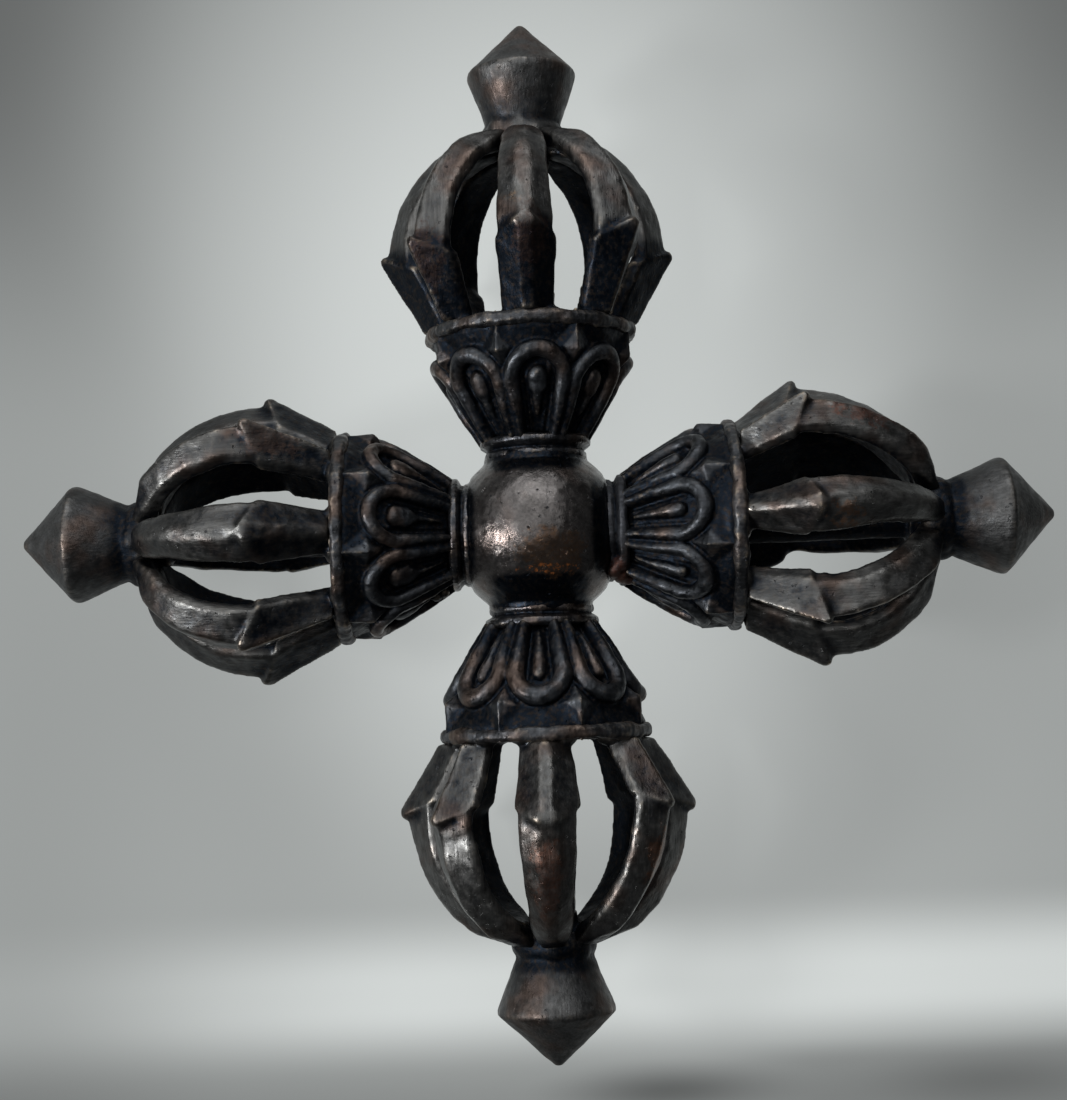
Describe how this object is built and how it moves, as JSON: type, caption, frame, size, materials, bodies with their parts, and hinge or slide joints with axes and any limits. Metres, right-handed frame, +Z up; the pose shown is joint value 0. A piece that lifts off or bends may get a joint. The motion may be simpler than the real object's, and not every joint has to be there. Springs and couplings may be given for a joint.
{
  "type": "crossed dorje",
  "caption": "Crossed dorje of dark bronze: lotus cups and prong cages set in a cross round a ball, each arm ended by a two-coned finial.",
  "frame": {"origin": "on the table plane under the middle of the ball, with the cross lying flat", "axes": "+Z up, square to the cross; +X along the east arm and +Y along the north arm"},
  "size_m": [0.1072, 0.1086, 0.0299],
  "materials": {
    "ball_bronze": "semi-polished dark bronze with pits",
    "collar_bronze": "dark bronze, worn bright on the rings",
    "cup_bronze": "black patina in the recesses, copper wear on the petals",
    "rim_bronze": "dark bronze, worn bright on the bead",
    "prong_bronze": "filed dark bronze, brassy on the ridges",
    "finial_bronze": "matt grey-brown bronze"
  },
  "bodies": {
    "root": {"centre_ball": "ball_bronze", "east_neck_collar": "collar_bronze", "east_lotus_cup": "cup_bronze", "east_rim_ring": "rim_bronze", "east_spindle": "finial_bronze", "east_prong_1": "prong_bronze", "east_prong_2": "prong_bronze", "east_prong_3": "prong_bronze", "east_prong_4": "prong_bronze", "east_prong_5": "prong_bronze", "east_prong_6": "prong_bronze", "east_prong_7": "prong_bronze", "east_prong_8": "prong_bronze", "north_neck_collar": "collar_bronze", "north_lotus_cup": "cup_bronze", "north_rim_ring": "rim_bronze", "north_spindle": "finial_bronze", "north_prong_1": "prong_bronze", "north_prong_2": "prong_bronze", "north_prong_3": "prong_bronze", "north_prong_4": "prong_bronze", "north_prong_5": "prong_bronze", "north_prong_6": "prong_bronze", "north_prong_7": "prong_bronze", "north_prong_8": "prong_bronze", "west_neck_collar": "collar_bronze", "west_lotus_cup": "cup_bronze", "west_rim_ring": "rim_bronze", "west_spindle": "finial_bronze", "west_prong_1": "prong_bronze", "west_prong_2": "prong_bronze", "west_prong_3": "prong_bronze", "west_prong_4": "prong_bronze", "west_prong_5": "prong_bronze", "west_prong_6": "prong_bronze", "west_prong_7": "prong_bronze", "west_prong_8": "prong_bronze", "south_neck_collar": "collar_bronze", "south_lotus_cup": "cup_bronze", "south_rim_ring": "rim_bronze", "south_spindle": "finial_bronze", "south_prong_1": "prong_bronze", "south_prong_2": "prong_bronze", "south_prong_3": "prong_bronze", "south_prong_4": "prong_bronze", "south_prong_5": "prong_bronze", "south_prong_6": "prong_bronze", "south_prong_7": "prong_bronze", "south_prong_8": "prong_bronze"}
  },
  "joints": []
}
